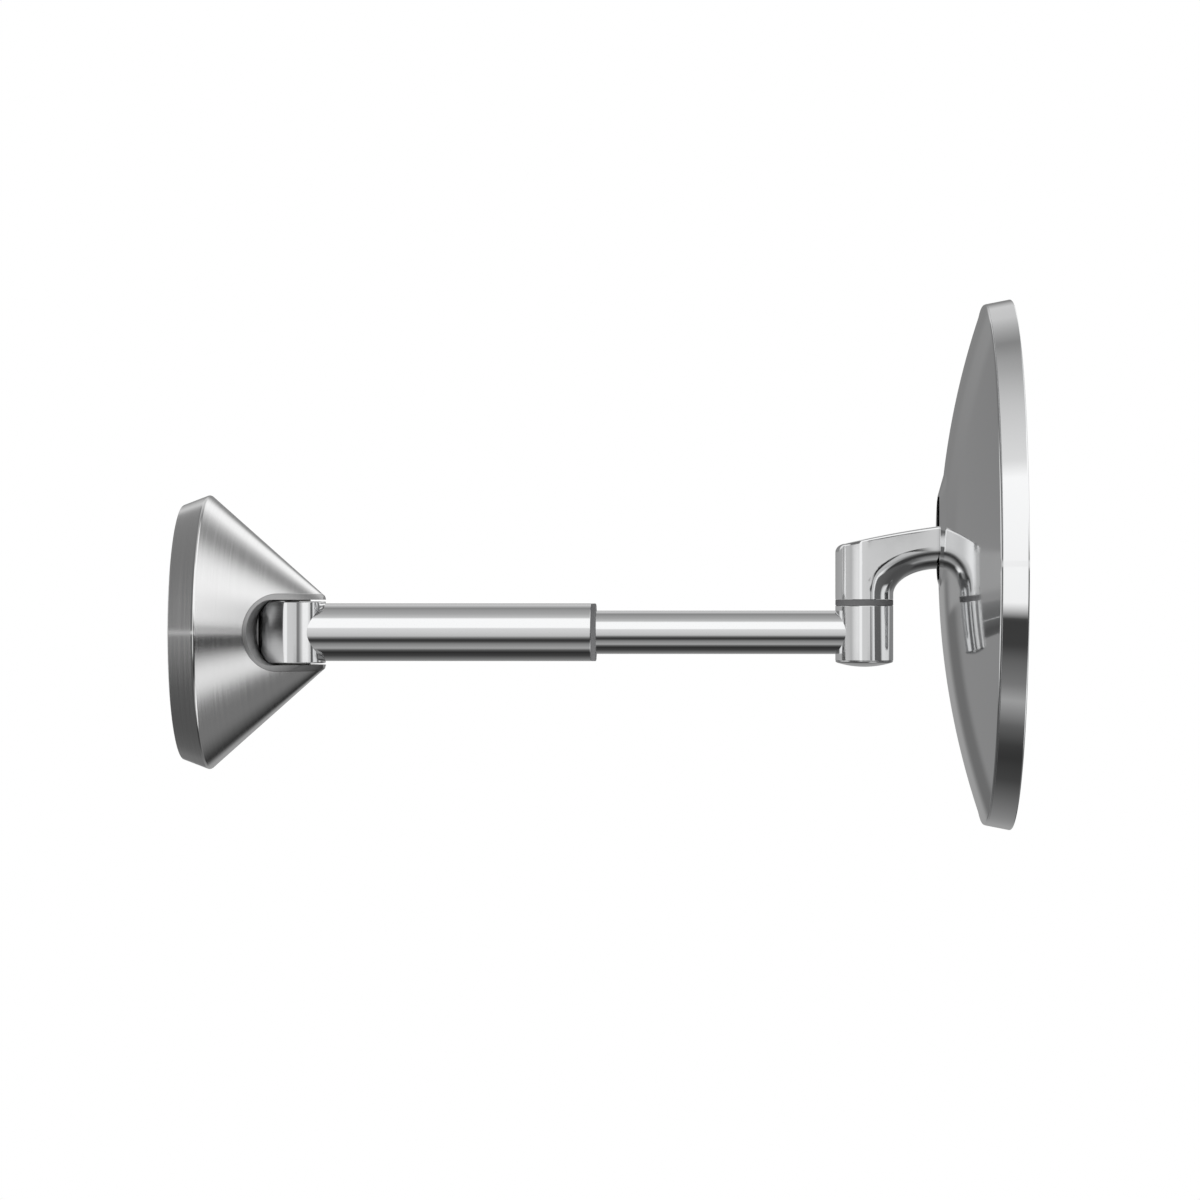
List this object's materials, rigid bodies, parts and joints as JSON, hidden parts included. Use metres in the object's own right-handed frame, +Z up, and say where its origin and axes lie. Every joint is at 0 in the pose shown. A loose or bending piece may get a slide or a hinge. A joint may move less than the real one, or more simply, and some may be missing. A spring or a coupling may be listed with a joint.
{
  "type": "extendable shaving mirror",
  "caption": "Round magnifying mirror on a telescopic arm that swings, extends, swivels and tilts from a conical wall base.",
  "frame": {"origin": "centre of the base on the wall plane", "axes": "+X out of the wall along the arm, +Z up, +Y to the left seen from the wall"},
  "size_m": [0.2861, 0.1832, 0.1832],
  "materials": {
    "chrome": "polished",
    "polished_steel": "polished",
    "brushed_steel": "turned, radial sheen",
    "satin_steel": "satin",
    "fastener_steel": "plain",
    "zinc_steel": "zinc plated",
    "grey_plastic": "matte",
    "bush_plastic": "matte",
    "seal_rubber": "matte",
    "mirror_glass": "silvered",
    "foam_pad": "matte"
  },
  "bodies": {
    "base": {"wall_plate": "zinc_steel", "base_cone": "brushed_steel", "hinge_saddle": "satin_steel", "saddle_screw": "fastener_steel", "saddle_washer": "fastener_steel", "set_screw": "fastener_steel", "hinge_pin": "fastener_steel", "hinge_washers": "bush_plastic"},
    "outer_arm": {"hinge_barrel": "chrome", "barrel_bushes": "bush_plastic", "outer_tube": "chrome", "tube_collar": "grey_plastic"},
    "inner_arm": {"inner_tube": "chrome", "slide_glide": "bush_plastic", "friction_ring": "seal_rubber", "lower_knuckle": "chrome", "knuckle_cap": "chrome", "swivel_ring": "grey_plastic", "swivel_washer": "bush_plastic"},
    "mirror_neck": {"neck": "chrome", "swivel_stud": "fastener_steel", "upper_disc_spring": "fastener_steel", "lower_disc_spring": "fastener_steel", "swivel_nut": "fastener_steel"},
    "mirror_head": {"tilt_bolt": "fastener_steel", "tilt_washers": "bush_plastic", "tilt_spring": "fastener_steel", "tilt_nut": "fastener_steel", "tilt_bracket": "zinc_steel", "bracket_screws": "fastener_steel", "back_cover": "polished_steel", "rim_ring": "chrome", "mirror_glass": "mirror_glass", "glass_pad": "foam_pad"}
  },
  "joints": [
    {"name": "arm_swing", "type": "hinge", "parent": "base", "child": "outer_arm", "pos_m": [0.0374, 0, 0], "axis": [0, 0, 1], "range_deg": [-90, 90]},
    {"name": "arm_slide", "type": "slide", "parent": "outer_arm", "child": "inner_arm", "axis": [1, 0, 0], "range_m": [-0.065, 0]},
    {"name": "head_swivel", "type": "hinge", "parent": "inner_arm", "child": "mirror_neck", "pos_m": [0.236, 0, 0], "axis": [0, 0, 1], "range_deg": [-90, 90]},
    {"name": "mirror_tilt", "type": "hinge", "parent": "mirror_neck", "child": "mirror_head", "pos_m": [0.2695, 0, 0.02935], "axis": [0, 1, 0], "range_deg": [-30, 15]}
  ]
}
